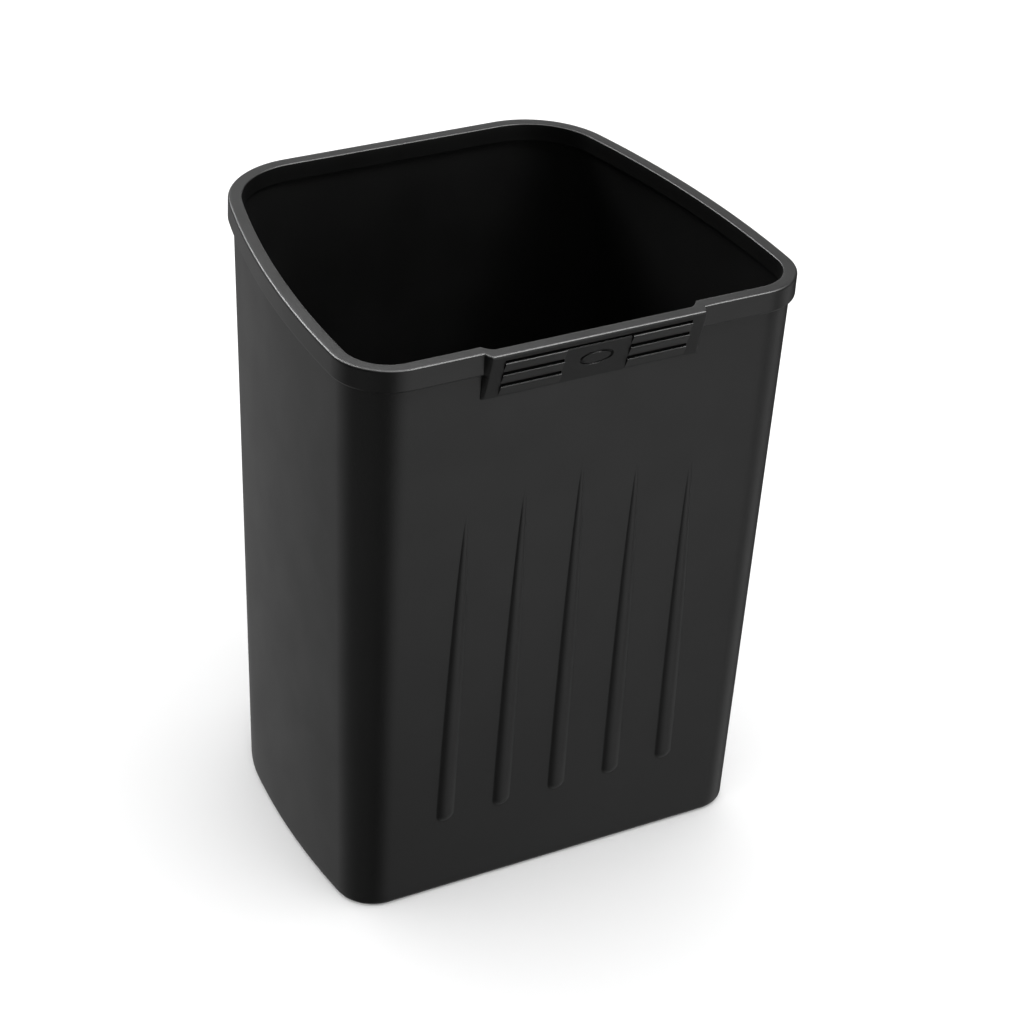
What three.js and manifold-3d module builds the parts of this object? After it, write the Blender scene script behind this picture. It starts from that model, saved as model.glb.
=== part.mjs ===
// An open-topped tapered waste bin with a lift-off rim ring, in millimetres, +Z up.
// The origin is on the floor, under the middle of the rim. The grip on the rim faces -Y.
import * as THREE from "three";
import { mergeVertices } from "three/addons/utils/BufferGeometryUtils.js";
import Module from "manifold-3d";

// ---- Driving dimensions ----

const HEIGHT = 420;

// A plan has a straight front and back, side walls that are arcs, and rounded corners.
// The side arcs are widest near the front, so the bin narrows towards its back.
const RIM_PLAN = {
  halfWidth: 163.5,
  front: 144,
  back: 144,
  widestY: -88.5,
  sideRadius: 743,
  frontCorner: 37.5,
  backCorner: 62,
};
const FOOT_PLAN = {
  halfWidth: 153.2,
  front: 136.5,
  back: 124.5,
  widestY: -52,
  sideRadius: 597,
  frontCorner: 27,
  backCorner: 116,
};

// Body wall, floor, and the rounding where they meet.
const WALL = 2.4;
const FLOOR = 3;
const FOOT_ROUNDING = 4;
const INNER_FOOT_ROUNDING = 3;
const WALL_LEVELS = 3;

// Rim ring: an upside-down channel that sits over the body's top edge.
const BAND_HEIGHT = 15.5;
const BAND_PROUD = 3.2;
const RIM_WIDTH = 9.2;
const RIM_PLATE = 2;
const OUTER_SKIRT = 2.8;
const INNER_SKIRT = 1.8;
const INNER_SKIRT_DEPTH = 12;
const OUTER_ROUNDING = 1.5;
const INNER_ROUNDING = 0.8;
const LOWER_CHAMFER = 1.5;
const CLEARANCE = 0.4;

// Grip: the ring steps forward here, and an apron slopes back down to the body's wall.
const GRIP_PROUD = 6;
const GRIP_HALF_WIDTH = 75;
const GRIP_FOOT = 386;
const GRIP_FOOT_EDGE = 0.9;
const GRIP_SHELL = 3.2;
const GRIP_CHEEK = 3;
const STEP_START = { outer: 78, inner: 76 };
const STEP_END = { outer: GRIP_HALF_WIDTH, inner: 68 };
const NOTCH_HALF_WIDTH = 80;
const NOTCH_FLOOR = 405.5;

// Finger louvres on the grip: three tilted slats on each side of a plain oval mark.
const LEDGE_TOP = 413.4;
const LEDGE_PITCH = 9.5;
const SLATS = 3;
const SLAT_INNER_X = 23.4;
const SLAT_OUTER_X = 66;
const SLAT_PROUD = 1.3;
const SLAT_RECESS = 2;
const SLAT_SLOT = 2;
const SLAT_ROOT = 0.5;
const FOOT_LIP = 1;
const OVAL = { x: 12, z: 5.5, line: 1.8, depth: 1.2, height: 402 };

// Ribs on the front wall: rounded at the foot, fading to a point, tallest in the middle.
const RIBS = 5;
const RIB_FOOT_PITCH = 42.3;
const RIB_TIP_PITCH = 40.8;
const RIB_FOOT = 59.5;
const RIB_MIDDLE_TIP = 325;
const RIB_TIP_FALL = 10;
const RIB_HALF_WIDTH = 6.5;
const RIB_TIP_HALF_WIDTH = 0.5;
const RIB_TAPER = 0.65;
const RIB_PROUD = 2;
const RIB_ROOT = 1;

// Facets.
const CORNER_STEPS = 8;
const SIDE_STEPS = 8;
const ROUNDING_STEPS = 3;
const RIB_ARC_STEPS = 8;
const RIB_LENGTH_STEPS = 8;
const OVAL_STEPS = 32;

const wasm = await Module();
wasm.setup();

// ---- Plan outlines ----

// The same plan drawn a distance further in.
function insetPlan(plan, inset) {
  return {
    ...plan,
    halfWidth: plan.halfWidth - inset,
    front: plan.front - inset,
    back: plan.back - inset,
    sideRadius: plan.sideRadius - inset,
    frontCorner: plan.frontCorner - inset,
    backCorner: plan.backCorner - inset,
  };
}

// Centre of the corner circle that touches a straight end wall and the side arc from inside.
function cornerCentre(plan, endY, radius) {
  const y = endY - Math.sign(endY) * radius;
  const reach = Math.sqrt((plan.sideRadius - radius) ** 2 - (y - plan.widestY) ** 2);
  return new THREE.Vector2(plan.halfWidth - plan.sideRadius + reach, y);
}

function arcPoints(centre, radius, from, to, steps) {
  return new THREE.EllipseCurve(centre.x, centre.y, radius, radius, from, to).getPoints(steps);
}

// The plan's points, anticlockwise from the right end of the straight front to its left end.
function planPoints(plan) {
  const side = new THREE.Vector2(plan.halfWidth - plan.sideRadius, plan.widestY);
  const front = cornerCentre(plan, -plan.front, plan.frontCorner);
  const back = cornerCentre(plan, plan.back, plan.backCorner);
  const frontTouch = Math.atan2(front.y - side.y, front.x - side.x);
  const backTouch = Math.atan2(back.y - side.y, back.x - side.x);
  const right = [
    ...arcPoints(front, plan.frontCorner, -Math.PI / 2, frontTouch, CORNER_STEPS),
    ...arcPoints(side, plan.sideRadius, frontTouch, backTouch, SIDE_STEPS).slice(1),
    ...arcPoints(back, plan.backCorner, backTouch, Math.PI / 2, CORNER_STEPS).slice(1),
  ];
  const left = right.map((p) => new THREE.Vector2(-p.x, p.y)).reverse();
  return [...right, ...left];
}

const WALL_TOP_PLAN = insetPlan(RIM_PLAN, BAND_PROUD);

// The body's wall at a height, drawn a distance inside its outer face.
function wallSection(z, inset) {
  const foot = planPoints(insetPlan(FOOT_PLAN, inset));
  const top = planPoints(insetPlan(WALL_TOP_PLAN, inset));
  const share = z / HEIGHT;
  return foot.map((p, i) => {
    const q = p.clone().lerp(top[i], share);
    return new THREE.Vector3(q.x, q.y, z);
  });
}

// Y of the straight front wall's outer face at a height.
function frontWallY(z) {
  return -THREE.MathUtils.lerp(FOOT_PLAN.front, WALL_TOP_PLAN.front, z / HEIGHT);
}

// The ring's outline at an inset and a height, with its step forward at the grip.
function ringSection(inset, z) {
  const share = THREE.MathUtils.clamp(inset / RIM_WIDTH, 0, 1);
  const start = THREE.MathUtils.lerp(STEP_START.outer, STEP_START.inner, share);
  const end = THREE.MathUtils.lerp(STEP_END.outer, STEP_END.inner, share);
  const y = -(RIM_PLAN.front - inset);
  const step = [
    [-start, y],
    [-end, y - GRIP_PROUD],
    [end, y - GRIP_PROUD],
    [start, y],
  ];
  const outline = planPoints(insetPlan(RIM_PLAN, inset)).map((p) => [p.x, p.y]);
  return [...outline, ...step].map(([x, sectionY]) => new THREE.Vector3(x, sectionY, z));
}

// ---- Solids ----

// A closed skin through sections that all have the same number of points. A loop joins its last
// section to its first, and any other skin has flat ends.
function skin(sections, isLoop) {
  const count = sections[0].length;
  const faces = [];
  const rows = isLoop ? sections.length : sections.length - 1;
  for (let row = 0; row < rows; row++) {
    const next = (row + 1) % sections.length;
    for (let i = 0; i < count; i++) {
      const j = (i + 1) % count;
      faces.push(row * count + i, row * count + j, next * count + j);
      faces.push(row * count + i, next * count + j, next * count + i);
    }
  }
  if (!isLoop) {
    const flat = (section) => section.map((p) => new THREE.Vector2(p.x, p.y));
    const start = THREE.ShapeUtils.triangulateShape(flat(sections[0]), []);
    const end = THREE.ShapeUtils.triangulateShape(flat(sections.at(-1)), []);
    const lastRow = (sections.length - 1) * count;
    start.forEach(([a, b, c]) => faces.push(a, c, b));
    end.forEach(([a, b, c]) => faces.push(lastRow + a, lastRow + b, lastRow + c));
  }
  const geometry = new THREE.BufferGeometry().setFromPoints(sections.flat());
  geometry.setIndex(faces);
  return toSolid(geometry);
}

function toSolid(geometry) {
  geometry.deleteAttribute("normal");
  geometry.deleteAttribute("uv");
  const merged = mergeVertices(geometry, 1e-3);
  const mesh = new wasm.Mesh({
    numProp: 3,
    vertProperties: new Float32Array(merged.attributes.position.array),
    triVerts: new Uint32Array(merged.index.array),
  });
  return new wasm.Manifold(mesh);
}

function toGeometry(solid) {
  const mesh = solid.getMesh();
  const geometry = new THREE.BufferGeometry();
  geometry.setAttribute("position", new THREE.BufferAttribute(mesh.vertProperties, 3));
  geometry.setIndex(new THREE.BufferAttribute(mesh.triVerts, 1));
  geometry.computeVertexNormals();
  return geometry;
}

const X_AXIS = new THREE.Vector3(1, 0, 0);
const Y_AXIS = new THREE.Vector3(0, 1, 0);
const Z_AXIS = new THREE.Vector3(0, 0, 1);

// A prism with its profile in Y and Z, from one X to another.
function prism(profile, fromX, toX) {
  const shape = new THREE.Shape(profile.map(([y, z]) => new THREE.Vector2(y, z)));
  const geometry = new THREE.ExtrudeGeometry(shape, { depth: toX - fromX, bevelEnabled: false });
  geometry.applyMatrix4(new THREE.Matrix4().makeBasis(Y_AXIS, Z_AXIS, X_AXIS));
  geometry.translate(fromX, 0, 0);
  return toSolid(geometry);
}

// A quarter circle as steps of [across, up], from [0, 0] to [radius, radius], leaving upwards.
function quarterRound(radius) {
  return Array.from({ length: ROUNDING_STEPS + 1 }, (_, i) => {
    const angle = (Math.PI / 2) * (i / ROUNDING_STEPS);
    return [radius * (1 - Math.cos(angle)), radius * Math.sin(angle)];
  });
}

// ---- Body ----

function tub() {
  const top = HEIGHT - RIM_PLATE - CLEARANCE;
  const outerFoot = quarterRound(FOOT_ROUNDING)
    .reverse()
    .map(([across, up]) => wallSection(FOOT_ROUNDING - up, across));
  const levels = Array.from({ length: WALL_LEVELS }, (_, i) => (top * (i + 1)) / WALL_LEVELS);
  const outer = levels.map((z) => wallSection(z, 0));
  const inner = levels.reverse().map((z) => wallSection(z, WALL));
  const innerFoot = quarterRound(INNER_FOOT_ROUNDING).map(([across, up]) =>
    wallSection(FLOOR + INNER_FOOT_ROUNDING - up, WALL + across),
  );
  return skin([...outerFoot, ...outer, ...inner, ...innerFoot], false);
}

// A rib keeps most of its width for half its length, and narrows faster towards its tip.
function ribHalfWidth(share) {
  return Math.max(RIB_TIP_HALF_WIDTH, RIB_HALF_WIDTH * (1 - share ** 2) ** RIB_TAPER);
}

// A crown that stands out from the wall as a shallow arc.
function crownPoints(x, y, halfWidth, proud) {
  const radius = (halfWidth ** 2 + proud ** 2) / (2 * proud);
  const reach = Math.asin(halfWidth / radius);
  const centre = new THREE.Vector2(x, y + radius - proud);
  return arcPoints(centre, radius, -Math.PI / 2 - reach, -Math.PI / 2 + reach, RIB_ARC_STEPS);
}

// One rib, from its half-round foot to its tip. Each section is a low crown rooted in the wall.
function rib(index) {
  const fromMiddle = index - (RIBS - 1) / 2;
  const tip = RIB_MIDDLE_TIP - RIB_TIP_FALL * Math.abs(fromMiddle);
  const footX = fromMiddle * RIB_FOOT_PITCH;
  const tipX = fromMiddle * RIB_TIP_PITCH;
  const shoulder = RIB_FOOT + RIB_HALF_WIDTH;
  const stations = quarterRound(RIB_HALF_WIDTH)
    .slice(1)
    .map(([up, halfWidth]) => ({ z: RIB_FOOT + up, halfWidth }));
  stations.unshift({ z: RIB_FOOT, halfWidth: RIB_TIP_HALF_WIDTH });
  for (let i = 1; i <= RIB_LENGTH_STEPS; i++) {
    const share = i / RIB_LENGTH_STEPS;
    stations.push({ z: THREE.MathUtils.lerp(shoulder, tip, share), halfWidth: ribHalfWidth(share) });
  }
  const sections = stations.map(({ z, halfWidth }) => {
    const x = THREE.MathUtils.lerp(footX, tipX, (z - RIB_FOOT) / (tip - RIB_FOOT));
    const proud = (RIB_PROUD * halfWidth) / RIB_HALF_WIDTH;
    const y = frontWallY(z);
    const root = [
      new THREE.Vector2(x + halfWidth, y + RIB_ROOT),
      new THREE.Vector2(x - halfWidth, y + RIB_ROOT),
    ];
    const crown = crownPoints(x, y, halfWidth, proud);
    return [...crown, ...root].map((p) => new THREE.Vector3(p.x, p.y, z));
  });
  return skin(sections, false);
}

// The body's top edge is cut away behind the grip, where the ring steps forward.
function notch() {
  const clearOfWall = 10;
  const inside = -(WALL_TOP_PLAN.front - clearOfWall);
  const outside = -(WALL_TOP_PLAN.front + clearOfWall);
  const profile = [
    [outside, NOTCH_FLOOR],
    [inside, NOTCH_FLOOR],
    [inside, HEIGHT],
    [outside, HEIGHT],
  ];
  return prism(profile, -NOTCH_HALF_WIDTH, NOTCH_HALF_WIDTH);
}

function body() {
  let solid = tub();
  for (let i = 0; i < RIBS; i++) solid = solid.add(rib(i));
  return solid.subtract(notch());
}

// ---- Rim ring ----

function channel() {
  const low = HEIGHT - BAND_HEIGHT;
  const under = HEIGHT - RIM_PLATE;
  const skirtFoot = HEIGHT - INNER_SKIRT_DEPTH;
  const skirtBack = RIM_WIDTH - INNER_SKIRT;
  const outerEdge = quarterRound(OUTER_ROUNDING).map(([across, up]) => [
    across,
    HEIGHT - OUTER_ROUNDING + up,
  ]);
  const innerEdge = quarterRound(INNER_ROUNDING)
    .reverse()
    .map(([across, up]) => [RIM_WIDTH - across, HEIGHT - INNER_ROUNDING + up]);
  const profile = [
    [LOWER_CHAMFER, low],
    [0, low + LOWER_CHAMFER],
    ...outerEdge,
    ...innerEdge,
    [RIM_WIDTH, skirtFoot],
    [skirtBack, skirtFoot],
    [skirtBack, under],
    [OUTER_SKIRT, under],
    [OUTER_SKIRT, low],
  ];
  return skin(
    profile.map(([inset, z]) => ringSection(inset, z)),
    true,
  );
}

// The grip's sloping face: a point at a height, and a depth behind the face.
const FACE_TOP = { y: -(RIM_PLAN.front + GRIP_PROUD), z: HEIGHT - OUTER_ROUNDING };
const FACE_FOOT = { y: frontWallY(GRIP_FOOT) - GRIP_FOOT_EDGE, z: GRIP_FOOT };

function facePoint(z, depth) {
  const share = (z - FACE_FOOT.z) / (FACE_TOP.z - FACE_FOOT.z);
  return [THREE.MathUtils.lerp(FACE_FOOT.y, FACE_TOP.y, share) + depth, z];
}

// The apron is a shell with a solid cheek at each end.
function apron() {
  const backY = frontWallY(HEIGHT) - CLEARANCE;
  const under = HEIGHT - RIM_PLATE;
  const faceBack = facePoint(under, GRIP_SHELL);
  const shellFoot = GRIP_FOOT + GRIP_SHELL;
  const shell = [
    facePoint(FACE_TOP.z, 0),
    facePoint(GRIP_FOOT, 0),
    [backY, GRIP_FOOT],
    [backY, shellFoot],
    faceBack,
  ];
  const cheek = [facePoint(FACE_TOP.z, 0), facePoint(GRIP_FOOT, 0), [backY, GRIP_FOOT], [backY, under]];
  const inner = GRIP_HALF_WIDTH - GRIP_CHEEK;
  return prism(shell, -inner, inner)
    .add(prism(cheek, -GRIP_HALF_WIDTH, -inner))
    .add(prism(cheek, inner, GRIP_HALF_WIDTH));
}

// Everything in front of the sloping face, which trims the stepped part of the channel.
function inFrontOfFace() {
  const reach = 20;
  const foot = GRIP_FOOT - FOOT_LIP;
  const profile = [
    facePoint(FACE_TOP.z, 0),
    [FACE_TOP.y - reach, FACE_TOP.z],
    [FACE_TOP.y - reach, foot],
    facePoint(foot, 0),
  ];
  return prism(profile, -STEP_START.outer, STEP_START.outer);
}

function ledgeHeight(index) {
  return LEDGE_TOP - LEDGE_PITCH * index;
}

// How far a cutting shape stands out in front of the face.
const CUT_REACH = 2;

// A narrow slot over the first ledge, across the whole grip.
function topSlot() {
  const top = LEDGE_TOP + SLAT_SLOT;
  const profile = [
    facePoint(top, SLAT_RECESS),
    facePoint(top, -CUT_REACH),
    facePoint(LEDGE_TOP, -CUT_REACH),
    facePoint(LEDGE_TOP, SLAT_RECESS),
  ];
  return prism(profile, -SLAT_OUTER_X, SLAT_OUTER_X);
}

// The pocket that holds one side's upper slats.
function slatPocket(fromX, toX) {
  const foot = ledgeHeight(SLATS - 1);
  const profile = [
    facePoint(LEDGE_TOP, -CUT_REACH),
    facePoint(foot, -CUT_REACH),
    facePoint(foot, SLAT_RECESS),
    facePoint(LEDGE_TOP, SLAT_RECESS),
  ];
  return prism(profile, fromX, toX);
}

// A slat stands proud at its ledge and slopes back to the face. A slot parts it from the next one.
function slat(index, fromX, toX) {
  const isLast = index === SLATS - 1;
  const top = ledgeHeight(index);
  const foot = isLast ? GRIP_FOOT + FOOT_LIP : ledgeHeight(index + 1) + SLAT_SLOT;
  const rootDepth = isLast ? SLAT_ROOT : SLAT_RECESS + SLAT_ROOT;
  const profile = [
    facePoint(top, -SLAT_PROUD),
    facePoint(foot, 0),
    facePoint(foot, rootDepth),
    facePoint(top, SLAT_RECESS + SLAT_ROOT),
  ];
  return prism(profile, fromX, toX);
}

// A plain oval groove in the middle of the grip.
function ovalMark() {
  const outline = new THREE.Shape().absellipse(0, 0, OVAL.x, OVAL.z, 0, 2 * Math.PI);
  const island = new THREE.Path();
  island.absellipse(0, 0, OVAL.x - OVAL.line, OVAL.z - OVAL.line, 0, 2 * Math.PI);
  outline.holes.push(island);
  const geometry = new THREE.ExtrudeGeometry(outline, {
    depth: 2 * OVAL.depth,
    curveSegments: OVAL_STEPS,
    bevelEnabled: false,
  });
  const slope = Math.atan2(FACE_FOOT.y - FACE_TOP.y, FACE_TOP.z - FACE_FOOT.z);
  geometry.translate(0, 0, -OVAL.depth);
  geometry.rotateX(Math.PI / 2 + slope);
  const [y, z] = facePoint(OVAL.height, 0);
  geometry.translate(0, y, z);
  return toSolid(geometry);
}

function rimRing() {
  let solid = channel().add(apron()).subtract(inFrontOfFace()).subtract(topSlot());
  for (const [fromX, toX] of [
    [-SLAT_OUTER_X, -SLAT_INNER_X],
    [SLAT_INNER_X, SLAT_OUTER_X],
  ]) {
    solid = solid.subtract(slatPocket(fromX, toX));
    for (let i = 0; i < SLATS; i++) solid = solid.add(slat(i, fromX, toX));
  }
  return solid.subtract(ovalMark());
}

// ---- Assembly ----

const satinBlack = { color: 0x1b1b1b, roughness: 0.5, metalness: 0 };
const group = new THREE.Group();

function addPiece(name, solid) {
  const mesh = new THREE.Mesh(toGeometry(solid), new THREE.MeshStandardMaterial(satinBlack));
  mesh.name = name;
  group.add(mesh);
}

addPiece("bin_body", body());
addPiece("rim_ring", rimRing());

export default group;
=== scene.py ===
"""The looks of an open-topped tapered waste bin with a lift-off rim ring, built over its CAD frame."""

import math

import bmesh
import bpy
import numpy as np
from mathutils import Matrix, Vector


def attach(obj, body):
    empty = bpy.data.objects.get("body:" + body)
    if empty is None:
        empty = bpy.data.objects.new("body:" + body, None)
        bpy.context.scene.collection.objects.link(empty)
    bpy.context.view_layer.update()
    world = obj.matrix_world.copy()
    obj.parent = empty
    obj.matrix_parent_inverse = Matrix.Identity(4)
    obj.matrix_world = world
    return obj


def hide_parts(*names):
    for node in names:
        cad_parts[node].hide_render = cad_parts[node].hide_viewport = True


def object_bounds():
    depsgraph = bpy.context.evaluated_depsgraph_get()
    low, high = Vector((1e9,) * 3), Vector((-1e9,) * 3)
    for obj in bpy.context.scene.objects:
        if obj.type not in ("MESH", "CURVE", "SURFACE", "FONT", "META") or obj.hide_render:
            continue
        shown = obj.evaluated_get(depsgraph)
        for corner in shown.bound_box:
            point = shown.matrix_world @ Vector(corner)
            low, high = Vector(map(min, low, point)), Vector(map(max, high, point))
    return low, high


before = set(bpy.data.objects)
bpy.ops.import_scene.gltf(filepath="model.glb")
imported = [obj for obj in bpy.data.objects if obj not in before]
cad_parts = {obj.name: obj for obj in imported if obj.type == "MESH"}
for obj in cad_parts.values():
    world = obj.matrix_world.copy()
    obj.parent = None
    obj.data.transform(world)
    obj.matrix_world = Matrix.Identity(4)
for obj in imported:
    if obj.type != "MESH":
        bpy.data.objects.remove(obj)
cad_low, cad_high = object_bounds()

# ---- Driving dimensions of the bin, in millimetres ----

MM = 0.001
HEIGHT = 420.0

# A plan has a straight front and back, side walls that are arcs, and rounded corners.
# The side arcs are widest near the front, so the bin narrows towards its back.
RIM_PLAN = {
    "half_width": 163.5,
    "front": 144.0,
    "back": 144.0,
    "widest_y": -88.5,
    "side_radius": 743.0,
    "front_corner": 37.5,
    "back_corner": 62.0,
}
FOOT_PLAN = {
    "half_width": 153.2,
    "front": 136.5,
    "back": 124.5,
    "widest_y": -52.0,
    "side_radius": 597.0,
    "front_corner": 27.0,
    "back_corner": 116.0,
}

WALL = 2.4
FLOOR = 3.0
FOOT_ROUNDING = 4.0
INNER_FOOT_ROUNDING = 3.0
BODY_TOP = 417.6

# Rim ring: an upside-down channel that sits over the body's top edge.
BAND_FOOT = 404.5
BAND_PROUD = 3.2
RIM_WIDTH = 9.2
RIM_UNDERSIDE = 418.0
OUTER_SKIRT = 2.8
INNER_SKIRT = 1.8
INNER_SKIRT_FOOT = 408.0
OUTER_ROUNDING = 1.5
INNER_ROUNDING = 0.8
LOWER_ROUNDING = 1.5

# The band's underside has this small step, so that no two rows of the ring's outer side share a height.
BAND_STEP = 0.02
BAND_UNDERSIDE = BAND_FOOT - BAND_STEP

# Rows over the ring's flat top, and down the inside of its inner skirt.
TOP_INSETS = (3.2, 5.0, 6.8)
INNER_SKIRT_HEIGHTS = (415.0, 411.0, INNER_SKIRT_FOOT)

# Grip: the ring steps forward here, and an apron slopes back down to the body's wall.
GRIP_PROUD = 6.0
GRIP_FOOT = 386.0
GRIP_FOOT_EDGE = 0.9
GRIP_SHELL = 3.2
GRIP_SHELL_FOOT = 389.2
GRIP_CHEEK_X = 72.0
STEP_START = {"outer": 78.0, "inner": 76.0}
STEP_END = {"outer": 75.0, "inner": 68.0}
NOTCH_HALF_WIDTH = 80.0
NOTCH_FLOOR = 405.5

# The body's rows are level up to here, and over it they dip into the notch behind the grip.
BELOW_NOTCH = 400.0

# Finger louvres on the grip: three tilted slats on each side of a plain oval mark.
LEDGE_TOP = 413.4
LEDGE_PITCH = 9.5
SLATS = 3
SLAT_INNER_X = 23.4
SLAT_OUTER_X = 66.0
SLAT_PROUD = 1.3
SLAT_RECESS = 2.0
SLAT_SLOT = 2.0
SLAT_LIP = 1.0
SLAT_FOOT = GRIP_FOOT + 1.0
OVAL = {"x": 12.0, "z": 5.5, "line": 1.8, "depth": 1.2, "height": 402.0}

# The ledges and the roofs of the slots lean this much, so that no two points of them share a height.
LEDGE_LEAN = 0.05
ROOF_LEAN = 0.15

# Ribs on the front wall: rounded at the foot, fading to a point, tallest in the middle.
RIBS = 5
RIB_FOOT_PITCH = 42.3
RIB_TIP_PITCH = 40.8
RIB_FOOT = 59.5
RIB_MIDDLE_TIP = 325.0
RIB_TIP_FALL = 10.0
RIB_HALF_WIDTH = 6.5
RIB_TIP_HALF_WIDTH = 0.5
RIB_TAPER = 0.65
RIB_PROUD = 2.0
RIB_FADE = 28.0

SHARP_EDGE = math.radians(33)

# Points closer together than the first become one, and points this close to the front wall are on it.
MERGE_DISTANCE = 0.004
ON_WALL = 0.01
TINY = 1e-6


# ---- Plan outlines ----


def inset_plan(plan, inset):
    """The same plan drawn a distance further in."""
    inner = dict(plan)
    for name in ("half_width", "front", "back", "side_radius", "front_corner", "back_corner"):
        inner[name] = plan[name] - inset
    return inner


WALL_TOP_PLAN = inset_plan(RIM_PLAN, BAND_PROUD)


def corner_centre(plan, end_y, radius):
    """Centre of the corner circle that touches a straight end wall and the side arc from inside."""
    y = end_y - math.copysign(radius, end_y)
    reach = math.sqrt((plan["side_radius"] - radius) ** 2 - (y - plan["widest_y"]) ** 2)
    return plan["half_width"] - plan["side_radius"] + reach, y


def arc(centre, radius, angles):
    return np.column_stack([centre[0] + radius * np.cos(angles), centre[1] + radius * np.sin(angles)])


def right_half(plan, steps):
    """Plan points from the right end of the straight front round to the right end of the back."""
    side = (plan["half_width"] - plan["side_radius"], plan["widest_y"])
    front = corner_centre(plan, -plan["front"], plan["front_corner"])
    back = corner_centre(plan, plan["back"], plan["back_corner"])
    front_touch = math.atan2(front[1] - side[1], front[0] - side[0])
    back_touch = math.atan2(back[1] - side[1], back[0] - side[0])
    pieces = [
        arc(front, plan["front_corner"], np.linspace(-math.pi / 2, front_touch, steps["front_corner"] + 1)),
        arc(side, plan["side_radius"], np.linspace(front_touch, back_touch, steps["side"] + 1))[1:],
        arc(back, plan["back_corner"], np.linspace(back_touch, math.pi / 2, steps["back_corner"] + 1))[1:],
    ]
    return np.vstack(pieces)


def mirrored(points):
    return (points * (-1, 1))[::-1]


def shares(steps):
    """Even shares strictly between 0 and 1."""
    return np.arange(1, steps)[:, None] / steps


def behind(plan, steps):
    """Open outline from the right end of the straight front, round the back, to its left end."""
    right = right_half(plan, steps)
    left = mirrored(right)
    straight_back = right[-1] + (left[0] - right[-1]) * shares(steps["back"])
    return np.vstack([right, straight_back, left])


def front_wall_y(z):
    """Y of the straight front wall's outer face at a height."""
    return -(FOOT_PLAN["front"] + (WALL_TOP_PLAN["front"] - FOOT_PLAN["front"]) * z / HEIGHT)


# ---- Mesh helpers ----


def grid_faces(rows, columns, close_columns=False, close_rows=False):
    """Quads of a grid whose points are stored row by row."""
    last_row = rows if close_rows else rows - 1
    last_column = columns if close_columns else columns - 1
    row = np.arange(last_row)[:, None]
    column = np.arange(last_column)[None, :]
    next_row = (row + 1) % rows
    next_column = (column + 1) % columns
    corners = [
        row * columns + column,
        row * columns + next_column,
        next_row * columns + next_column,
        next_row * columns + column,
    ]
    return np.stack(corners, axis=-1).reshape(-1, 4)


def make_piece(name, patches):
    """One mesh object from (points in millimetres, faces) patches that share their seam points."""
    points = []
    faces = []
    count = 0
    for patch_points, patch_faces in patches:
        points.append(patch_points)
        faces += [tuple(int(i) + count for i in face) for face in patch_faces]
        count += len(patch_points)
    mesh = bpy.data.meshes.new(name)
    mesh.from_pydata(np.vstack(points).tolist(), [], faces)
    made = bmesh.new()
    made.from_mesh(mesh)
    bmesh.ops.remove_doubles(made, verts=made.verts, dist=MERGE_DISTANCE)
    bmesh.ops.recalc_face_normals(made, faces=made.faces)
    made.to_mesh(mesh)
    made.free()
    mesh.transform(Matrix.Scale(MM, 4))
    mesh.shade_smooth()
    mesh.set_sharp_from_angle(angle=SHARP_EDGE)
    piece = bpy.data.objects.new(name, mesh)
    bpy.context.scene.collection.objects.link(piece)
    return piece


def rounded(radius, steps):
    """A quarter circle as (across, up) from (0, 0) to (radius, radius), leaving upwards."""
    angles = np.linspace(0, math.pi / 2, steps + 1)
    return [(radius * (1 - math.cos(a)), radius * math.sin(a)) for a in angles]


# ---- Body ----

BODY_STEPS = {"front_corner": 22, "side": 30, "back_corner": 24, "back": 10}
GAP_COLUMNS = 7
RIB_COLUMNS = 18
FOOT_ROWS = 6
INNER_FOOT_ROWS = 5
INNER_WALL_ROWS = 30
INNER_TOP_ROWS = 4
FLOOR_ROWS = 5

# The column beside a rib's edge, as a share of the rib's half width, and the width of the notch's ends.
RIB_SIDE = 1.08
NOTCH_SIDE = 0.012


def rib_place(index, z):
    """Centre and half width of a rib at a height, and the height of its tip."""
    from_middle = index - (RIBS - 1) / 2
    tip = RIB_MIDDLE_TIP - RIB_TIP_FALL * abs(from_middle)
    shoulder = RIB_FOOT + RIB_HALF_WIDTH
    along = np.clip((z - RIB_FOOT) / (tip - RIB_FOOT), 0, 1)
    centre = from_middle * (RIB_FOOT_PITCH + (RIB_TIP_PITCH - RIB_FOOT_PITCH) * along)
    length = np.clip((z - shoulder) / (tip - shoulder), 0, 1)
    half_width = np.maximum(RIB_TIP_HALF_WIDTH, RIB_HALF_WIDTH * (1 - length**2) ** RIB_TAPER)
    return centre, half_width, tip


def crown_height(distance):
    """Height of a full-size rib's shallow arc at a share of its half width."""
    radius = (RIB_HALF_WIDTH**2 + RIB_PROUD**2) / (2 * RIB_PROUD)
    across = RIB_HALF_WIDTH * np.clip(distance, 0, 1)
    return np.sqrt(radius**2 - across**2) - (radius - RIB_PROUD)


def rib_height(x, z):
    """How far the front wall stands out because of the ribs, at places along a row."""
    height = np.zeros_like(x)
    for index in range(RIBS):
        centre, half_width, tip = rib_place(index, z)
        if RIB_FOOT <= z <= tip:
            below = np.clip((RIB_FOOT + RIB_HALF_WIDTH - z) / RIB_HALF_WIDTH, 0, 1)
            distance = np.hypot((x - centre) / half_width, below)
            fade = math.sin(math.pi / 2 * min((tip - z) / RIB_FADE, 1))
            height = np.maximum(height, fade * half_width / RIB_HALF_WIDTH * crown_height(distance))
    return height


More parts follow.
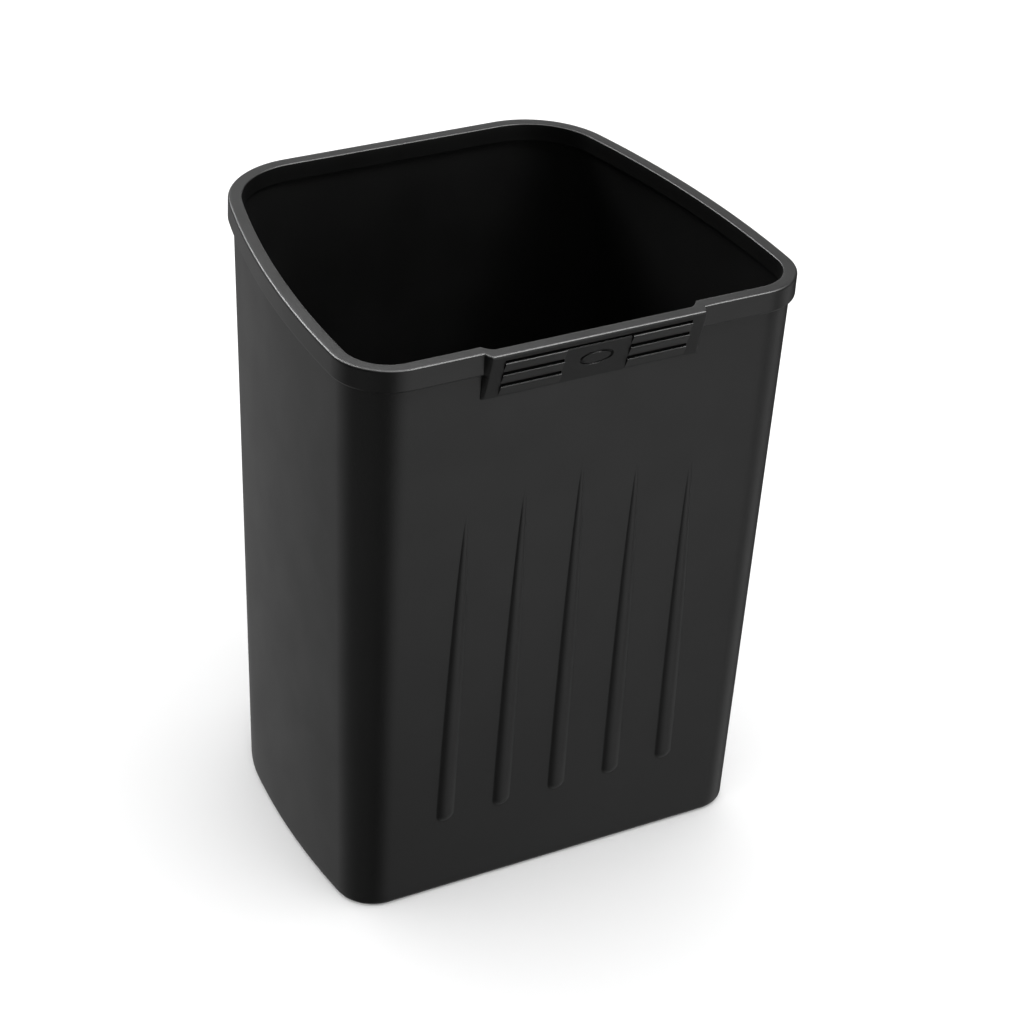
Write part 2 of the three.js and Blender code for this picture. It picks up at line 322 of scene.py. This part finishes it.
def front_columns(z, reach):
    """X of the columns along a row of the front wall. They follow the edges of the ribs, and over
    the ribs they move to the ends of the notch."""
    local = np.array([-RIB_SIDE, *np.linspace(-1, 1, RIB_COLUMNS + 1), RIB_SIDE])
    groups = []
    start = -reach
    for index in range(RIBS):
        centre, half_width, _ = rib_place(index, z)
        rib = centre + half_width * local
        groups += [np.linspace(start, rib[0], GAP_COLUMNS + 1)[1:-1], rib]
        start = rib[-1]
    groups.append(np.linspace(start, reach, GAP_COLUMNS + 1)[1:-1])
    along_ribs = np.concatenate(groups)

    count = len(along_ribs)
    left = GAP_COLUMNS + RIB_COLUMNS
    right = count - 1 - left
    inside = NOTCH_HALF_WIDTH - NOTCH_SIDE
    notch = [-NOTCH_HALF_WIDTH, -inside, inside, NOTCH_HALF_WIDTH]
    even = np.interp(range(count), [-1, left, left + 1, right - 1, right, count], [-reach, *notch, reach])
    share = np.clip((z - RIB_MIDDLE_TIP) / (BELOW_NOTCH - RIB_MIDDLE_TIP), 0, 1)
    return along_ribs + (even - along_ribs) * share


def body_section(z, inset):
    """Closed outline of the body at a height, drawn a distance inside its outer face."""
    share = z / HEIGHT
    foot = inset_plan(FOOT_PLAN, inset)
    top = inset_plan(WALL_TOP_PLAN, inset)
    outline = behind(foot, BODY_STEPS) * (1 - share) + behind(top, BODY_STEPS) * share
    right_end_x, front_y = outline[0]
    columns = front_columns(z, right_end_x)
    straight = np.column_stack([columns, np.full(len(columns), front_y)])
    return np.vstack([outline, straight])


def wall_levels():
    """Heights of the outer wall's rows, closer together round the feet and tips of the ribs."""
    below_ribs = RIB_FOOT - 3
    over_feet = RIB_FOOT + RIB_HALF_WIDTH + 2
    below_tips = RIB_MIDDLE_TIP - 30
    over_tips = RIB_MIDDLE_TIP + 2
    spans = [
        (FOOT_ROUNDING, below_ribs, 12),
        (below_ribs, over_feet, 24),
        (over_feet, below_tips, 60),
        (below_tips, over_tips, 24),
        (over_tips, BELOW_NOTCH, 14),
        (BELOW_NOTCH, BODY_TOP, 6),
    ]
    levels = [np.linspace(low, high, steps, endpoint=False) for low, high, steps in spans]
    return np.append(np.concatenate(levels), BODY_TOP)


def lowered(points):
    """The top edge is cut away behind the grip, where the ring steps forward."""
    is_front = points[:, 1] < -RIM_PLAN["front"] + RIM_WIDTH
    is_behind_grip = is_front & (np.abs(points[:, 0]) < NOTCH_HALF_WIDTH - NOTCH_SIDE / 2)
    share = np.clip((points[:, 2] - BELOW_NOTCH) / (BODY_TOP - BELOW_NOTCH), 0, 1)
    cut_height = BELOW_NOTCH + (NOTCH_FLOOR - BELOW_NOTCH) * share
    points[:, 2] = np.where(is_behind_grip & (share > 0), cut_height, points[:, 2])
    return points


def body_rows():
    """(height, inset) of each row, from the underside's edge up the wall and down to the inside floor."""
    rows = [(FOOT_ROUNDING - up, across) for across, up in reversed(rounded(FOOT_ROUNDING, FOOT_ROWS))]
    rows += [(z, 0.0) for z in wall_levels()[1:]]
    inner_foot_top = FLOOR + INNER_FOOT_ROUNDING
    rows += [(BODY_TOP, WALL)]
    rows += [(z, WALL) for z in np.linspace(BODY_TOP, BELOW_NOTCH, INNER_TOP_ROWS)[1:]]
    rows += [(z, WALL) for z in np.linspace(BELOW_NOTCH, inner_foot_top, INNER_WALL_ROWS)[1:]]
    inner_foot = rounded(INNER_FOOT_ROUNDING, INNER_FOOT_ROWS)[1:]
    rows += [(inner_foot_top - up, WALL + across) for across, up in inner_foot]
    return rows


def fan(ring, centre, flip):
    """Closes a ring of points with rows that shrink to its centre."""
    rows = [ring + (centre - ring) * (i / FLOOR_ROWS) for i in range(FLOOR_ROWS + 1)]
    points = np.vstack(rows)
    faces = grid_faces(len(rows), len(ring), close_columns=True)
    return points, faces[:, ::-1] if flip else faces


def build_body():
    rows = []
    for z, inset in body_rows():
        outline = body_section(z, inset)
        row = np.column_stack([outline, np.full(len(outline), z)])
        if inset == 0.0:
            is_front = row[:, 1] < front_wall_y(z) + ON_WALL
            row[:, 1] -= np.where(is_front, rib_height(row[:, 0], z), 0)
        rows.append(lowered(row))
    wall = (np.vstack(rows), grid_faces(len(rows), len(rows[0]), close_columns=True))
    underside = fan(rows[0], np.array([0, 0, 0.0]), True)
    inside_floor = fan(rows[-1], np.array([0, 0, FLOOR]), False)
    return make_piece("bin_body_visual", [wall, underside, inside_floor])


# ---- Rim ring ----

RING_STEPS = {"front_corner": 24, "side": 32, "back_corner": 26, "back": 12}
ROUND_STEPS = 5
LIP_STEPS = 5
LOWER_STEPS = 4
STRAIGHT_COLUMNS = 6
STEP_COLUMNS = 14
STEP_SLANT = 0.5

# Spacing of the grip's rows and columns. They are finer over the oval and in pairs at a sharp edge,
# and even ones that come too close to a fixed one are left out.
ROW_PITCH = 1.0
COLUMN_PITCH = 1.6
FINE_PITCH = 0.3
EDGE_PAIR = 0.03
AFTER_OVAL = 2.0
ROW_SPACE = 0.12
COLUMN_SPACE = 0.3

FACE_TOP = (-(RIM_PLAN["front"] + GRIP_PROUD), HEIGHT - OUTER_ROUNDING)
FACE_FOOT = (front_wall_y(GRIP_FOOT) - GRIP_FOOT_EDGE, GRIP_FOOT)


def face_y(z):
    """Y of the grip's sloping face at a height."""
    share = (z - FACE_FOOT[1]) / (FACE_TOP[1] - FACE_FOOT[1])
    return FACE_FOOT[0] + (FACE_TOP[0] - FACE_FOOT[0]) * share


def ledge_height(index):
    return LEDGE_TOP - LEDGE_PITCH * index


def lip(height, depth_below):
    """A ledge's rounded lip as (height, depth) pairs, from the back of the ledge downwards."""
    pairs = [(height + LEDGE_LEAN, SLAT_RECESS), (height, depth_below + SLAT_LIP)]
    for across, up in rounded(SLAT_LIP, LIP_STEPS)[1:]:
        pairs.append((height - across, depth_below + SLAT_LIP - up))
    return pairs


def slot_roof(height):
    """The roof of the slot over a ledge as (height, depth) pairs, from the face inwards."""
    return [(height + SLAT_SLOT + ROOF_LEAN, 0.0), (height + SLAT_SLOT, SLAT_RECESS)]


def slat_depth(z):
    """Depth of the louvres behind the grip's face, down one column of slats."""
    pairs = []
    for index in range(SLATS):
        pairs += slot_roof(ledge_height(index)) + lip(ledge_height(index), -SLAT_PROUD)
    pairs.append((SLAT_FOOT, 0.0))
    heights, depths = zip(*reversed(pairs))
    return np.interp(z, heights, depths)


def middle_depth(z):
    """Depth of the slot over the mark, where only the first ledge runs through."""
    pairs = slot_roof(LEDGE_TOP) + lip(LEDGE_TOP, 0.0)
    heights, depths = zip(*reversed(pairs))
    return np.where(z > LEDGE_TOP - SLAT_LIP, np.interp(z, heights, depths), 0)


def oval_depth(x, z):
    """A plain rounded groove along an oval."""
    up = z - OVAL["height"]
    reach = np.hypot(x / OVAL["x"], up / OVAL["z"])
    inner = np.hypot(x / (OVAL["x"] - OVAL["line"]), up / (OVAL["z"] - OVAL["line"]))
    is_line = (reach < 1) & (inner > 1)
    across = (1 - reach) / np.maximum(1 - reach + inner - 1, TINY)
    return np.where(is_line, OVAL["depth"] * np.sin(math.pi * np.clip(across, 0, 1)) ** 0.5, 0)


def face_depth(x, z):
    """How far the grip's outer side lies behind its sloping face."""
    distance = np.abs(x)
    depth = np.where(distance < SLAT_INNER_X, middle_depth(z), slat_depth(z))
    depth = np.where(distance > SLAT_OUTER_X, 0, depth)
    return depth + oval_depth(x, z)


def face_rows():
    """Heights of the outer face's rows, from the grip's foot to the top rounding."""
    even = np.arange(GRIP_FOOT + ROW_PITCH, FACE_TOP[1], ROW_PITCH)
    oval_reach = OVAL["z"] + FINE_PITCH
    fine = np.arange(OVAL["height"] - oval_reach, OVAL["height"] + oval_reach, FINE_PITCH)
    edge = [z for z, _ in slot_roof(0.0) + lip(0.0, -SLAT_PROUD)]
    ledges = [ledge_height(i) + z for i in range(SLATS) for z in edge]
    lower = [BAND_FOOT + LOWER_ROUNDING - up for _, up in rounded(LOWER_ROUNDING, LOWER_STEPS)]
    fixed = np.array([GRIP_FOOT, *ledges, *lower, BAND_UNDERSIDE, FACE_TOP[1]])
    loose = np.concatenate([even, fine])
    clear = [z for z in loose if np.min(np.abs(fixed - z)) > ROW_SPACE]
    return np.unique(np.round(np.concatenate([fixed, clear]), 4))


def ring_y(inset):
    """Y of the ring's straight front, a distance inside its outer face."""
    return -(RIM_PLAN["front"] - inset)


def root_inset(z):
    """Inset of the line where the grip's side wall meets the ring, at a height."""
    up = np.clip(BAND_FOOT + LOWER_ROUNDING - z, 0, LOWER_ROUNDING)
    band = LOWER_ROUNDING - np.sqrt(LOWER_ROUNDING**2 - up**2)
    return np.where(z < BAND_FOOT - BAND_STEP / 2, OUTER_SKIRT, band)


def rim_rows():
    """(inset, height) over the top of the ring and down its inner skirt, the same all round."""
    outer = rounded(OUTER_ROUNDING, ROUND_STEPS)[1:]
    inner = reversed(rounded(INNER_ROUNDING, ROUND_STEPS))
    rows = [(across, HEIGHT - OUTER_ROUNDING + up) for across, up in outer]
    rows += [(inset, HEIGHT) for inset in TOP_INSETS]
    rows += [(RIM_WIDTH - across, HEIGHT - INNER_ROUNDING + up) for across, up in inner]
    rows += [(RIM_WIDTH, z) for z in INNER_SKIRT_HEIGHTS]
    return rows


def plain_rows():
    """(inset, height) of the whole profile away from the grip, from the band's lower edge."""
    outer = [(float(root_inset(z)), z) for z in face_rows() if z > BAND_FOOT - BAND_STEP / 2]
    skirt = RIM_WIDTH - INNER_SKIRT
    inside = [
        (skirt, INNER_SKIRT_FOOT),
        (skirt, RIM_UNDERSIDE),
        (OUTER_SKIRT, RIM_UNDERSIDE),
        (OUTER_SKIRT, INNER_SKIRT_FOOT),
        (OUTER_SKIRT, BAND_UNDERSIDE),
    ]
    return outer + rim_rows() + inside


def step_x(inset, share):
    """X of the step's outline: share 0 is where it leaves the band, and 1 is the grip's corner."""
    along = np.clip(inset / RIM_WIDTH, 0, 1)
    start = STEP_START["outer"] + (STEP_START["inner"] - STEP_START["outer"]) * along
    end = STEP_END["outer"] + (STEP_END["inner"] - STEP_END["outer"]) * along
    return start + (end - start) * share


def plain_patch():
    """The ring from the right end of the grip, round the back, to the grip's left end."""
    rows = []
    for inset, z in plain_rows():
        outline = behind(inset_plan(RIM_PLAN, inset), RING_STEPS)
        start = np.array([[step_x(inset, 0.0), ring_y(inset)]])
        to_corner = start + (outline[0] - start) * shares(STRAIGHT_COLUMNS)
        outline = np.vstack([start, to_corner, outline, mirrored(to_corner), mirrored(start)])
        rows.append(np.column_stack([outline, np.full(len(outline), z)]))
    return np.vstack(rows), grid_faces(len(rows), len(rows[0]), close_rows=True)


def grip_columns():
    """X of the grip's columns where they cross its face, from right to left."""
    edge = STEP_END["outer"]
    oval_reach = OVAL["x"] + 2 * FINE_PITCH
    fine = np.arange(-oval_reach, oval_reach + FINE_PITCH / 2, FINE_PITCH)
    coarse = np.arange(OVAL["x"] + AFTER_OVAL, edge, COLUMN_PITCH)
    pairs = [x + side for x in (SLAT_INNER_X, SLAT_OUTER_X) for side in (-EDGE_PAIR, EDGE_PAIR)]
    fixed = np.array([*pairs, GRIP_CHEEK_X, edge])
    clear = [x for x in coarse if np.min(np.abs(fixed - x)) > COLUMN_SPACE]
    right = np.concatenate([fixed, clear])
    return np.sort(np.concatenate([right, fine, -right]))[::-1]


def step_path(share):
    """(sideways, forward) shares of the step: it leaves the band at a slant, and rounds on to the face."""
    bend = 2 * share * (1 - share)
    return bend * STEP_SLANT + share**2, bend + share**2


def grip_column(kind, value):
    """One column of the grip's closed profile. Seam and side columns take a share of the step's
    length on the right, and cheek and shell columns take the x where they cross the face."""
    is_face = kind in ("cheek", "shell")
    sideways, ahead = step_path(1.0 if is_face else value)
    forward = ahead * GRIP_PROUD

    def x_at(inset):
        if is_face:
            return value * step_x(inset, 1.0) / STEP_END["outer"]
        return step_x(inset, sideways)

    points = []
    for z in face_rows():
        inset = float(root_inset(z))
        root_x = step_x(inset, 0.0)
        root_y = ring_y(inset)
        if is_face:
            points.append((value, face_y(z) + float(face_depth(value, z)), z))
        else:
            x = root_x + (STEP_END["outer"] - root_x) * sideways
            points.append((x, root_y + (face_y(z) - root_y) * ahead, z))
    for inset, z in rim_rows():
        points.append((x_at(inset), ring_y(inset) - forward, z))
    return points + grip_inside(kind, x_at, forward)


def grip_inside(kind, x_at, forward):
    """The hidden side of a grip column, from the inner skirt's foot to the grip's foot. The step's
    sides and the cheeks are solid down to the inner skirt's foot, and the shell is hollow."""
    back_x = x_at(OUTER_SKIRT)
    back_y = ring_y(OUTER_SKIRT)
    skirt = RIM_WIDTH - INNER_SKIRT
    skirt_foot = (x_at(skirt), ring_y(skirt) - forward, INNER_SKIRT_FOOT)
    skirt_top = (x_at(skirt), ring_y(skirt) - forward, RIM_UNDERSIDE)
    below = [z for z in face_rows()[::-1] if z < BAND_UNDERSIDE - BAND_STEP / 2]
    back = [(back_x, back_y, z) for z in (INNER_SKIRT_FOOT, BAND_UNDERSIDE, *below)]
    if kind == "seam":
        return [skirt_foot, skirt_top, (back_x, back_y, RIM_UNDERSIDE), *back]
    if kind in ("side", "cheek"):
        return [back[0]] * 3 + back

    shell_x = x_at(0.0)
    shell_top = face_y(RIM_UNDERSIDE) + GRIP_SHELL

    def shell_y(z):
        share = (z - GRIP_SHELL_FOOT) / (RIM_UNDERSIDE - GRIP_SHELL_FOOT)
        return back_y + (shell_top - back_y) * max(share, 0)

    return [
        skirt_foot,
        skirt_top,
        (shell_x, shell_top, RIM_UNDERSIDE),
        (shell_x, shell_y(INNER_SKIRT_FOOT), INNER_SKIRT_FOOT),
        (shell_x, shell_y(BAND_FOOT), BAND_UNDERSIDE),
        *[(shell_x, shell_y(z), z) for z in below],
    ]


def grip_patch():
    """The front of the ring between the two ends of its step."""
    right = [grip_column("seam", 0.0)]
    right += [grip_column("side", column / STEP_COLUMNS) for column in range(STEP_COLUMNS)]
    columns = grip_columns()
    middle = [grip_column("cheek", x) for x in columns if x >= GRIP_CHEEK_X]
    middle += [grip_column("shell", x) for x in columns if abs(x) <= GRIP_CHEEK_X]
    middle += [grip_column("cheek", x) for x in columns if x <= -GRIP_CHEEK_X]
    left = np.array(right[::-1]) * (-1, 1, 1)
    grid = np.concatenate([right, middle, left])
    faces = grid_faces(*grid.shape[:2], close_columns=True)
    return grid.reshape(-1, 3), faces[:, ::-1]


def build_ring():
    """The ring, narrowed by the hair's breadth that keeps its sides inside the faceted CAD ring."""
    made = make_piece("rim_ring_visual", [plain_patch(), grip_patch()])
    made.data.transform(Matrix.Diagonal((cad_high.x / (RIM_PLAN["half_width"] * MM), 1, 1, 1)))
    return made


# ---- Materials ----

PLASTIC_COLOUR = (0.0018, 0.0019, 0.0017)
PLASTIC_IOR = 1.49
SEED_SHIFT = (1.0, 0.37, 0.71)

# Noise textures of the plastic, with the span of their values that is put to use.
CLOUDS = {"scale": 9, "detail": 3, "rough": 0.5, "span": (0.35, 0.65)}
WEAR = {"scale": 70, "detail": 4, "rough": 0.6, "span": (0.42, 0.7)}
SHEEN = {"scale": 26, "detail": 4, "rough": 0.5, "span": (0.3, 0.7)}
PEBBLES = {"scale": 1500, "detail": 2, "rough": 0.6}
WAVES = {"scale": 45, "detail": 2, "rough": 0.5}

CLOUD_DARK = 0.82
CLOUD_LIGHT = 1.2
WORN_LIGHT = 2.2
EDGE_SPAN = (0.52, 0.6)
SHEEN_CHANGE = 0.02
PEBBLE_DEPTH = 0.00012
WAVE_DEPTH = 0.001
WAVE_STRENGTH = 0.01

FLOOR_TONES = (0.92, 0.95)
FLOOR_ROUGHNESS = 0.9
FLOOR_CLOUD_SCALE = 3


def scaled(colour, factor):
    return tuple(channel * factor for channel in colour)


def black_plastic(name, roughness, grain, seed):
    """Matte moulded plastic: fine grain, faint cloudy colour, uneven roughness, paler worn edges."""
    material = bpy.data.materials.new(name)
    material.use_nodes = True
    tree = material.node_tree
    nodes = tree.nodes
    link = tree.links.new
    shader = nodes["Principled BSDF"]
    place = nodes.new("ShaderNodeTexCoord")
    shift = nodes.new("ShaderNodeMapping")
    shift.inputs["Location"].default_value = scaled(SEED_SHIFT, seed)
    link(place.outputs["Object"], shift.inputs["Vector"])

    def noise(kind):
        texture = nodes.new("ShaderNodeTexNoise")
        texture.inputs["Scale"].default_value = kind["scale"]
        texture.inputs["Detail"].default_value = kind["detail"]
        texture.inputs["Roughness"].default_value = kind["rough"]
        link(shift.outputs["Vector"], texture.inputs["Vector"])
        return texture.outputs["Fac"]

    def spread(value, span, low=0.0, high=1.0):
        node = nodes.new("ShaderNodeMapRange")
        for socket, number in zip(("From Min", "From Max", "To Min", "To Max"), (*span, low, high)):
            node.inputs[socket].default_value = number
        link(value, node.inputs["Value"])
        return node.outputs["Result"]

    def mixed(factor, first, second):
        node = nodes.new("ShaderNodeMix")
        node.data_type = "RGBA"
        link(factor, node.inputs["Factor"])
        for socket, colour in ((node.inputs["A"], first), (node.inputs["B"], second)):
            if isinstance(colour, tuple):
                socket.default_value = (*colour, 1)
            else:
                link(colour, socket)
        return node.outputs["Result"]

    def bump(height, strength, depth):
        node = nodes.new("ShaderNodeBump")
        node.inputs["Strength"].default_value = strength
        node.inputs["Distance"].default_value = depth
        link(height, node.inputs["Height"])
        return node

    dark = scaled(PLASTIC_COLOUR, CLOUD_DARK)
    light = scaled(PLASTIC_COLOUR, CLOUD_LIGHT)
    clouds = mixed(spread(noise(CLOUDS), CLOUDS["span"]), dark, light)
    geometry = nodes.new("ShaderNodeNewGeometry")
    worn = nodes.new("ShaderNodeMath")
    worn.operation = "MULTIPLY"
    link(spread(geometry.outputs["Pointiness"], EDGE_SPAN), worn.inputs[0])
    link(spread(noise(WEAR), WEAR["span"]), worn.inputs[1])
    colour = mixed(worn.outputs["Value"], clouds, scaled(PLASTIC_COLOUR, WORN_LIGHT))
    link(colour, shader.inputs["Base Color"])

    sheen = spread(noise(SHEEN), SHEEN["span"], roughness - SHEEN_CHANGE, roughness + SHEEN_CHANGE)
    link(sheen, shader.inputs["Roughness"])
    shader.inputs["IOR"].default_value = PLASTIC_IOR

    pebbles = bump(noise(PEBBLES), grain, PEBBLE_DEPTH)
    waves = bump(noise(WAVES), WAVE_STRENGTH, WAVE_DEPTH)
    link(pebbles.outputs["Normal"], waves.inputs["Normal"])
    link(waves.outputs["Normal"], shader.inputs["Normal"])
    return material


def pale_floor():
    """Matte pale floor with faint clouding."""
    material = bpy.data.materials.new("floor_paint")
    material.use_nodes = True
    tree = material.node_tree
    shader = tree.nodes["Principled BSDF"]
    texture = tree.nodes.new("ShaderNodeTexNoise")
    texture.inputs["Scale"].default_value = FLOOR_CLOUD_SCALE
    ramp = tree.nodes.new("ShaderNodeMapRange")
    ramp.inputs["To Min"].default_value = FLOOR_TONES[0]
    ramp.inputs["To Max"].default_value = FLOOR_TONES[1]
    tree.links.new(texture.outputs["Fac"], ramp.inputs["Value"])
    tree.links.new(ramp.outputs["Result"], shader.inputs["Base Color"])
    shader.inputs["Roughness"].default_value = FLOOR_ROUGHNESS
    return material


# ---- Pieces ----

body = build_body()
body.data.materials.append(black_plastic("body_black", roughness=0.46, grain=0.35, seed=3.0))
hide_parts("bin_body")
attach(body, "bin")

ring = build_ring()
ring.data.materials.append(black_plastic("rim_black", roughness=0.42, grain=0.3, seed=11.0))
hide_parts("rim_ring")
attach(ring, "ring")

# ---- Stage: floor, lights, camera, in metres ----

FLOOR_HALF_SIZE = 12.0
FLOOR_DROP = 0.0002
WORLD_STRENGTH = 1.3
BIN_MIDDLE = (0, 0, 0.2)

# The camera's place, and its tilt about its own line of sight.
CAMERA_PLACE = (-0.8231, -1.4700, 1.2826)
CAMERA_BACK = Vector((-0.4234, -0.7281, 0.5392))
CAMERA_ROLL = math.radians(3.71)
CAMERA_LENS = 102.2
CAMERA_SENSOR = 36.0


def square(name, half_size, z):
    """A level square round the origin."""
    mesh = bpy.data.meshes.new(name)
    corners = [(-half_size, -half_size, z), (half_size, -half_size, z), (half_size, half_size, z)]
    mesh.from_pydata([*corners, (-half_size, half_size, z)], [], [(0, 1, 2, 3)])
    made = bpy.data.objects.new(name, mesh)
    bpy.context.scene.collection.objects.link(made)
    return made


def softbox(name, place, size, radiance, spin=0.0):
    """A rectangular area light that faces the bin. Its radiance is its brightness at any size."""
    data = bpy.data.lights.new(name, "AREA")
    data.shape = "RECTANGLE"
    data.size, data.size_y = size
    data.energy = radiance * math.pi * size[0] * size[1]
    light = bpy.data.objects.new(name, data)
    aim = Vector(BIN_MIDDLE) - Vector(place)
    turn = Matrix.Rotation(math.radians(spin), 4, "Z")
    light.matrix_world = Matrix.Translation(place) @ aim.to_track_quat("-Z", "Y").to_matrix().to_4x4() @ turn
    bpy.context.scene.collection.objects.link(light)
    return light


def around(azimuth, elevation, distance):
    """A place at an angle round the bin. Azimuth 0 is in front of it, and 90 is to its right."""
    turn = math.radians(azimuth)
    rise = math.radians(elevation)
    direction = Vector((math.sin(turn) * math.cos(rise), -math.cos(turn) * math.cos(rise), math.sin(rise)))
    return Vector(BIN_MIDDLE) + direction * distance


floor = square("floor", FLOOR_HALF_SIZE, -FLOOR_DROP)
floor.data.materials.append(pale_floor())
floor.visible_glossy = False
floor.visible_shadow = False

# Broad lights round the bin and under it set the tones of its walls.
softbox("softbox_left", around(-144, -34, 1.6), (2.2, 2.2), 0.48)
softbox("softbox_right", around(20, -8, 1.6), (1.4, 1.8), 1.07)
softbox("softbox_back", around(146, 15, 2.0), (1.2, 0.4), 2.2)
softbox("softbox_under", (0.45, -0.1, -1.2), (1.2, 1.2), 0.5)
softbox("softbox_side", around(80, -20, 1.6), (0.7, 2.0), 0.7)
softbox("softbox_fill", around(-60, -25, 1.8), (1.7, 2.0), 0.21)

# Small bright lights high up draw the light lines along the rim. They show only in reflections.
glints = [
    softbox("softbox_strip", around(165, 68, 2.0), (3.0, 0.5), 15, spin=142),
    softbox("softbox_front_high", around(54, 60, 2.0), (0.7, 0.7), 32),
    softbox("softbox_left_high", around(-154, 38, 2.0), (0.7, 0.6), 24),
]
for light in glints:
    light.visible_diffuse = False

# The world's light doesn't show in reflections, so it whitens the floor and hardly lights the bin.
world = bpy.data.worlds.new("pale_room")
bpy.context.scene.world = world
world.use_nodes = True
background = world.node_tree.nodes["Background"]
background.inputs["Color"].default_value = (1, 1, 1, 1)
background.inputs["Strength"].default_value = WORLD_STRENGTH
world.cycles_visibility.glossy = False

bpy.context.scene.view_settings.view_transform = "Standard"

camera_data = bpy.data.cameras.new("camera")
camera_data.lens = CAMERA_LENS
camera_data.sensor_width = CAMERA_SENSOR
camera = bpy.data.objects.new("camera", camera_data)
level = CAMERA_BACK.to_track_quat("Z", "Y").to_matrix().to_4x4()
camera.matrix_world = Matrix.Translation(CAMERA_PLACE) @ level @ Matrix.Rotation(CAMERA_ROLL, 4, "Z")
bpy.context.scene.collection.objects.link(camera)
bpy.context.scene.camera = camera
